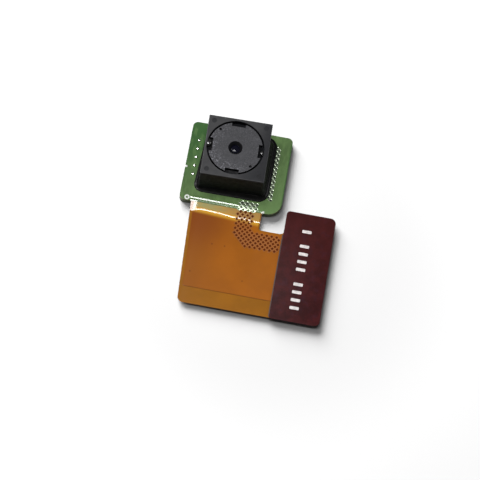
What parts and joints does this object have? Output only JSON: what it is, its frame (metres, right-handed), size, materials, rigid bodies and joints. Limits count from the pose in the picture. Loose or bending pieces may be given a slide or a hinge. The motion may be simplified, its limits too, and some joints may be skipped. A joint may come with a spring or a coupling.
{
  "type": "camera module",
  "caption": "Small fixed-focus camera module: square lens holder with a notched barrel on a board head, and a flexible tail to a stiffened board connector.",
  "frame": {"origin": "where the optical axis meets the board head's back face", "axes": "+Z along the optical axis, out of the lens; +Y away from the tail, along the part's longest side; +X towards the connector"},
  "size_m": [0.0212, 0.0256, 0.0063],
  "materials": {
    "moulded_black": "fine moulded texture",
    "black_epoxy": "cured, slightly uneven",
    "barrel_black": "scuffed moulded face",
    "clear_glue": "clear cured drop",
    "lens_glass": "coated",
    "baffle_film": "dead black",
    "filter_glass": "coated",
    "silicon": "polished die",
    "die_glue": "cured",
    "gold": "bright plating",
    "tinned": "tinned",
    "chip_ceramic": "fired",
    "board_core": "glass epoxy",
    "green_mask": "solder mask",
    "amber_film": "polyimide",
    "amber_cover": "polyimide cover film",
    "hatch_copper": "copper under clear cover",
    "maroon_plate": "laminate",
    "bond_film": "cured bonding film",
    "plug_plastic": "moulded",
    "white_ink": "printed marks"
  },
  "bodies": {
    "root": {"board_plate": "board_core", "flex_film": "amber_film", "head_mask": "green_mask", "tail_coverlay": "amber_cover", "ground_hatch": "hatch_copper", "test_pads": "tinned", "ground_ring": "tinned", "plating_stubs": "tinned", "connector_stiffener": "maroon_plate", "stiffener_bond": "bond_film", "lens_holder": "moulded_black", "seal_adhesive": "black_epoxy", "lens_barrel": "barrel_black", "lock_adhesive": "clear_glue", "lens_1": "lens_glass", "lens_2": "lens_glass", "lens_3": "lens_glass", "lens_4": "lens_glass", "spacer_1": "baffle_film", "spacer_2": "baffle_film", "spacer_3": "baffle_film", "lens_retainer": "baffle_film", "ir_filter": "filter_glass", "filter_adhesive": "clear_glue", "sensor_die": "silicon", "die_attach": "die_glue", "bond_wires": "gold", "bond_fingers": "gold", "capacitor_bodies": "chip_ceramic", "capacitor_terminals": "tinned", "connector_housing": "plug_plastic", "connector_contacts": "gold", "connector_anchors": "tinned"}
  },
  "joints": []
}
